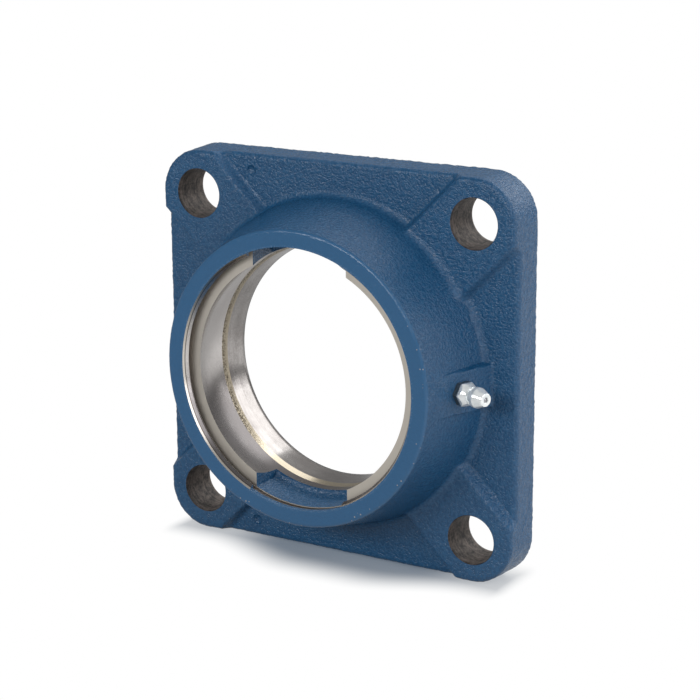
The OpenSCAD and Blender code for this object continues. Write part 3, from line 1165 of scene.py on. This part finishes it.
@dataclass
class Studio:
    """Camera, white floor, world and lamps; the foot is half the width and depth of what stands on it."""

    focal: float = 3.0095
    yaw: float = 31.139
    pitch: float = 15.02
    roll: float = -0.00544
    eye: Triple = (341.9, -568.8, 179.33)
    floor_z: float = -65.5
    floor_reach: float = 0.8
    floor_grey: Triple = (0.45, 0.45, 0.45)
    shadow: Triple = (0.40, 0.39, 0.37)
    shadow_glow: Triple = (0.050, 0.080, 0.120)
    foot: tuple[float, float] = (0.060, 0.007)
    lamps: tuple[Lamp, ...] = (
        Lamp("softbox_behind", (0.57, 0.82, 0.60), (1.10, 0.74), 2.3, roll=48.8),
        Lamp("softbox_above", (0.05, 0.42, 0.95), (0.95, 0.42), 1.5),
        Lamp("softbox_front", (-0.14, -0.99, 0.40), (1.05, 0.24), 7.1),
        Lamp("softbox_right", (1.0, -0.15, 0.35), (0.7, 0.8), 2.4, (0.98, 0.97, 1.0)),
    )

    def build_camera(self) -> Object:
        """The camera at the photograph's viewing angle."""
        yaw, pitch = math.radians(self.yaw), math.radians(self.pitch)
        ahead = Vector((-math.sin(yaw) * math.cos(pitch), math.cos(yaw) * math.cos(pitch), -math.sin(pitch)))
        right = Vector((math.cos(yaw), math.sin(yaw), 0.0))
        up = right.cross(ahead)
        level = right * math.cos(self.roll) + up * math.sin(self.roll)
        top = level.cross(ahead)
        data = bpy.data.cameras.new("camera")
        data.sensor_width, data.lens, data.clip_start = 36.0, 36.0 * self.focal, 0.01
        obj = in_scene("camera", data)
        turn = Matrix((level, top, -ahead)).transposed().to_4x4()
        obj.matrix_world = Matrix.Translation(Vector(self.eye) * MM) @ turn
        bpy.context.scene.camera = obj
        return obj

    def build_floor(self) -> Object:
        """A wide white floor with the object's soft shadow: its real diffuse shade near the foot, faded into
        white by a painted mask, and a painted light gradient seen in reflections.
        """
        material, bench = new_material("white_floor")
        camera, glossy, through = bench.rays()
        shown = (camera + glossy + through).least(1.0)
        x, y, _ = bench.axes(bench.place())
        white = (1.0, 1.0, 1.0)
        # Painted light in reflections: the floor is dimmer to the left and full white from x = 0.14 m to the
        # right, as if lit from the back right.
        lit = bench.either(camera.most(x.rise(-0.02, 0.14)),
                           bench.emission(white, 0.5), bench.emission(white))
        shadow = bench.node("ShaderNodeAddShader", None, {
            0: bench.diffuse(self.shadow), 1: bench.emission(self.shadow_glow)})
        # Painted shadow reach: near the foot the floor shows its real diffuse shade and a faint blue painted
        # glow; a mask of distance from the foot, shorter to the sides and longest round x = 4 mm, fades this
        # into white.
        wide, deep = self.foot
        beside = (abs(x) - wide).most(0.0) * 2.0
        before = (abs(y + deep) - deep).most(0.0)
        aside = abs(x - 0.004).rise(0.012, 0.050) * 0.012
        far = ((beside * beside + before * before) ** 0.5 + aside).rise(0.003, 0.024)
        bench.end(bench.either(shown, bench.diffuse(self.floor_grey), bench.either(far, shadow, lit)))
        reach, z = self.floor_reach, self.floor_z * MM
        corners = [(-reach, -reach, z), (reach, -reach, z), (reach, reach, z), (-reach, reach, z)]
        mesh = bpy.data.meshes.new("floor")
        mesh.from_pydata(corners, [], [(0, 1, 2, 3)])
        mesh.materials.append(material)
        obj = in_scene("floor", mesh)
        return obj

    def build_world(self) -> None:
        """White to the camera and in reflections from behind, dimmer from the front, and a soft fill."""
        world = bpy.data.worlds.new("studio")
        world.use_nodes = True
        bpy.context.scene.world = world
        bench = Bench(world.node_tree)
        camera, glossy, through = bench.rays()
        shown = (glossy + through).least(1.0)
        x, y, z = bench.axes(bench.node("ShaderNodeTexCoord", out="Generated"))
        mirrored = 0.26 + z.rise(0.02, 0.20) * x.rise(-0.50, -0.15) * 0.20
        back_light = y.rise(0.25, 0.70) * z.rise(0.05, 0.30) * z.rise(0.80, 0.60) * x.rise(0.55, -0.10)
        fill = 0.30 + z.rise(-0.2, 1.0) * 0.14 + back_light * 3.4
        strength = camera + (1 - camera) * (shown * mirrored + (1 - shown) * fill)
        bench.end(bench.node("ShaderNodeBackground", None, {"Color": (1.0, 1.0, 1.0), "Strength": strength}),
                  "ShaderNodeOutputWorld")

    def build(self) -> None:
        """Sets up the camera, floor, world and lamps."""
        bpy.context.scene.view_settings.view_transform = "Standard"
        self.build_camera()
        self.build_floor()
        self.build_world()
        for lamp in self.lamps:
            lamp.build()


def main() -> None:
    """Builds the studio and every piece of the housing."""
    logging.basicConfig(level=logging.INFO, format="%(name)s: %(message)s")
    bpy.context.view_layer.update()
    Studio().build()
    for piece in [Housing().build(), *GreaseNipple().build()]:
        volume = signed_volume(piece.data) / MM ** 3
        LOG.info("%s: %d faces, %.1f mm3", piece.name, len(piece.data.polygons), volume)
    bpy.context.view_layer.update()


if __name__ == "__main__":
    main()
